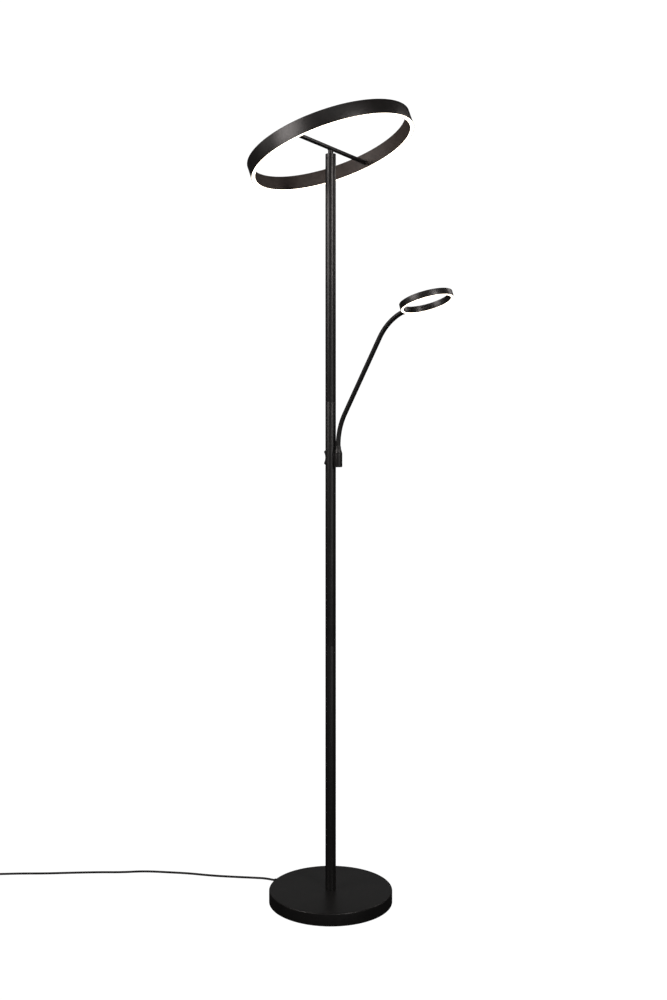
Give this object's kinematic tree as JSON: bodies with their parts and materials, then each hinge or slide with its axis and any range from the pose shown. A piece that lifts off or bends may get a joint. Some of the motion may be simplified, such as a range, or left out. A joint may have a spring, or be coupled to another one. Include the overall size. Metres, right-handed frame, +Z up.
{
  "type": "torchiere floor lamp",
  "caption": "Slim black floor lamp with a tilting light ring on a crossbar, a gooseneck reading ring, a rocker switch on the pole and a round weighted base.",
  "frame": {"origin": "centre of the base's underside, on the floor and on the pole's axis", "axes": "+Z up along the pole, +X right, on the side of the reading arm, +Y to the back"},
  "size_m": [1.249, 0.4594, 1.7975],
  "materials": {
    "satin_black": "satin",
    "ring_black": "satin anodised",
    "opal": "opal",
    "led_board": "matt",
    "concrete": "rough cast",
    "steel": "zinc plated",
    "brass": "turned",
    "black_plastic": "fine grain",
    "white_plastic": "matt",
    "gooseneck_black": "smooth sleeve",
    "rubber": "matt",
    "cord_black": "satin",
    "nickel": "nickel plated"
  },
  "bodies": {
    "stand": {"base_pad": "rubber", "bottom_plate": "steel", "plate_screws": "steel", "base_weight": "concrete", "led_driver": "white_plastic", "base_cover": "satin_black", "threaded_nipple": "steel", "pole_washer": "steel", "pole_nut": "steel", "cord_gland": "rubber", "pole_lower": "satin_black", "pole_middle": "satin_black", "pole_upper": "satin_black", "lower_joiner": "steel", "upper_joiner": "steel", "pole_foot_plug": "black_plastic", "pole_cap": "satin_black", "pole_lead": "cord_black", "switch_housing": "black_plastic", "rocker_pin": "steel", "arm_socket": "satin_black", "arm_screws": "steel", "grub_screw": "steel", "mains_cord": "cord_black", "cord_coil": "cord_black", "cord_tail": "cord_black", "plug_body": "black_plastic", "plug_pins": "nickel"},
    "head": {"neck_stem": "satin_black", "crossbar": "satin_black", "stem_collar": "steel", "collar_screw": "steel", "bar_inserts": "brass", "friction_washers": "black_plastic"},
    "ring": {"ring_housing": "ring_black", "ring_led_board": "led_board", "ring_diffuser": "opal", "pivot_screws": "steel"},
    "rocker": {"rocker_cap": "black_plastic"},
    "arm_base": {"arm_swivel": "satin_black", "neck_root": "gooseneck_black"},
    "neck_1": {"neck_segment_1": "gooseneck_black"},
    "neck_2": {"neck_segment_2": "gooseneck_black"},
    "neck_3": {"neck_segment_3": "gooseneck_black"},
    "neck_4": {"neck_segment_4": "gooseneck_black"},
    "neck_5": {"neck_segment_5": "gooseneck_black"},
    "neck_6": {"neck_segment_6": "gooseneck_black"},
    "reader": {"neck_segment_7": "gooseneck_black", "neck_ferrule": "steel", "reader_housing": "ring_black", "reader_led_board": "led_board", "reader_diffuser": "opal", "reader_screw": "steel"}
  },
  "joints": [
    {"name": "head_swivel", "type": "hinge", "parent": "stand", "child": "head", "pos_m": [0, 0, 1.6895], "axis": [0, 0, 1], "range_deg": [-170, 170]},
    {"name": "ring_tilt", "type": "hinge", "parent": "head", "child": "ring", "pos_m": [0, 0, 1.7125], "axis": [0.4337, 0.9011, 0], "range_deg": [-54, 94]},
    {"name": "rocker_tilt", "type": "hinge", "parent": "stand", "child": "rocker", "pos_m": [-0.0065, 0, 1.009], "axis": [0, 1, 0], "range_deg": [-6, 6], "stiffness_Nm_per_rad": 0.25},
    {"name": "arm_swivel_turn", "type": "hinge", "parent": "stand", "child": "arm_base", "pos_m": [0.01718, -0.01468, 1.02], "axis": [0, 0, 1], "range_deg": [-115, 115]},
    {"name": "neck_bend_1", "type": "hinge", "parent": "arm_base", "child": "neck_1", "pos_m": [0.01719, -0.01468, 1.038], "axis": [0.6494, 0.7604, 0], "range_deg": [-5, 14]},
    {"name": "neck_bend_2", "type": "hinge", "parent": "neck_1", "child": "neck_2", "pos_m": [0.03195, -0.02729, 1.10886], "axis": [0.6494, 0.7604, 0], "range_deg": [-5, 14]},
    {"name": "neck_bend_3", "type": "hinge", "parent": "neck_2", "child": "neck_3", "pos_m": [0.05085, -0.04343, 1.1508], "axis": [0.6494, 0.7604, 0], "range_deg": [-5, 14]},
    {"name": "neck_bend_4", "type": "hinge", "parent": "neck_3", "child": "neck_4", "pos_m": [0.06975, -0.05957, 1.19274], "axis": [0.6494, 0.7604, 0], "range_deg": [-5, 14]},
    {"name": "neck_bend_5", "type": "hinge", "parent": "neck_4", "child": "neck_5", "pos_m": [0.08864, -0.07571, 1.23468], "axis": [0.6494, 0.7604, 0], "range_deg": [-5, 14]},
    {"name": "neck_bend_6", "type": "hinge", "parent": "neck_5", "child": "neck_6", "pos_m": [0.10754, -0.09185, 1.27662], "axis": [0.6494, 0.7604, 0], "range_deg": [-5, 14]},
    {"name": "neck_bend_7", "type": "hinge", "parent": "neck_6", "child": "reader", "pos_m": [0.13023, -0.11123, 1.31102], "axis": [0.6494, 0.7604, 0], "range_deg": [-5, 14]}
  ],
  "couplings": [
    {"joint": "neck_bend_2", "follows": "neck_bend_1", "ratio": 1},
    {"joint": "neck_bend_3", "follows": "neck_bend_1", "ratio": 1},
    {"joint": "neck_bend_4", "follows": "neck_bend_1", "ratio": 1},
    {"joint": "neck_bend_5", "follows": "neck_bend_1", "ratio": 1},
    {"joint": "neck_bend_6", "follows": "neck_bend_1", "ratio": 1},
    {"joint": "neck_bend_7", "follows": "neck_bend_1", "ratio": 1}
  ]
}
